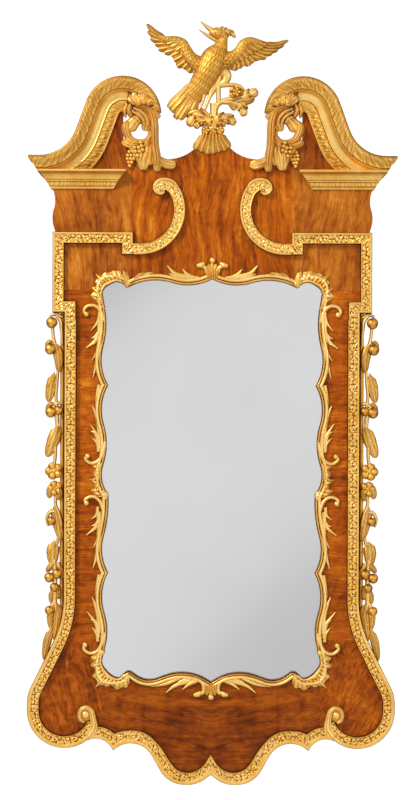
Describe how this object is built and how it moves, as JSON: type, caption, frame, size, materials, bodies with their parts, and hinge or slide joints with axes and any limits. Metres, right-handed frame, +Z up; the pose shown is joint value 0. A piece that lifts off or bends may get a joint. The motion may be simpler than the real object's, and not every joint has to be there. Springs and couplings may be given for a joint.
{
  "type": "wall mirror",
  "caption": "Tall walnut and gilt wall mirror with a swan-neck pediment, bird finial, fruit pendants and a carved slip round a shaped plate.",
  "frame": {"origin": "middle of the back face of the upper wall batten, on the centre line of the mirror", "axes": "+Z up, +X to the right of someone facing the mirror, the front faces -Y and the wall is the plane Y = 0"},
  "size_m": [0.736, 0.09, 1.5303],
  "materials": {
    "softwood": "old dry pine",
    "walnut_veneer": "polished figured veneer",
    "gilt_wood": "water gilding over bole",
    "silvered_glass": "silvered plate",
    "steel": "dull steel"
  },
  "bodies": {
    "frame": {"apron_core": "softwood", "backboard": "softwood", "batten_screws": "steel", "bird_body": "gilt_wood", "bottom_palmette": "gilt_wood", "branch": "gilt_wood", "crest_centre_veneer": "walnut_veneer", "crest_core": "softwood", "finial_plinth": "gilt_wood", "glass_blocks": "softwood", "hanger_screws": "steel", "left_apron_moulding": "gilt_wood", "left_apron_veneer": "walnut_veneer", "left_cornice": "gilt_wood", "left_crest_scroll": "gilt_wood", "left_crest_veneer": "walnut_veneer", "left_edge_strip": "gilt_wood", "left_foot_veneer": "walnut_veneer", "left_hanger_plate": "steel", "left_lower_shell": "gilt_wood", "left_neck_core": "softwood", "left_neck_moulding": "gilt_wood", "left_pendant": "gilt_wood", "left_shoulder_moulding": "gilt_wood", "left_side_moulding": "gilt_wood", "left_slip_side": "gilt_wood", "left_stile_core": "softwood", "left_stile_veneer": "walnut_veneer", "left_terminal": "gilt_wood", "left_upper_shell": "gilt_wood", "left_wing": "gilt_wood", "lower_batten": "softwood", "mirror_glass": "silvered_glass", "right_apron_moulding": "gilt_wood", "right_apron_veneer": "walnut_veneer", "right_cornice": "gilt_wood", "right_crest_scroll": "gilt_wood", "right_crest_veneer": "walnut_veneer", "right_edge_strip": "gilt_wood", "right_foot_veneer": "walnut_veneer", "right_hanger_plate": "steel", "right_lower_shell": "gilt_wood", "right_neck_core": "softwood", "right_neck_moulding": "gilt_wood", "right_pendant": "gilt_wood", "right_shoulder_moulding": "gilt_wood", "right_side_moulding": "gilt_wood", "right_slip_side": "gilt_wood", "right_stile_core": "softwood", "right_stile_veneer": "walnut_veneer", "right_terminal": "gilt_wood", "right_upper_shell": "gilt_wood", "right_wing": "gilt_wood", "slip_bottom": "gilt_wood", "slip_top": "gilt_wood", "top_palmette": "gilt_wood", "upper_batten": "softwood"},
    "left_ring": {"left_hanger_ring": "steel"},
    "right_ring": {"right_hanger_ring": "steel"}
  },
  "joints": [
    {"name": "left_ring_swing", "type": "hinge", "parent": "frame", "child": "left_ring", "pos_m": [-0.23, -0.009, 0.116], "axis": [1, 0, 0], "range_deg": [0, 180]},
    {"name": "right_ring_swing", "type": "hinge", "parent": "frame", "child": "right_ring", "pos_m": [0.23, -0.009, 0.116], "axis": [1, 0, 0], "range_deg": [0, 180]}
  ]
}
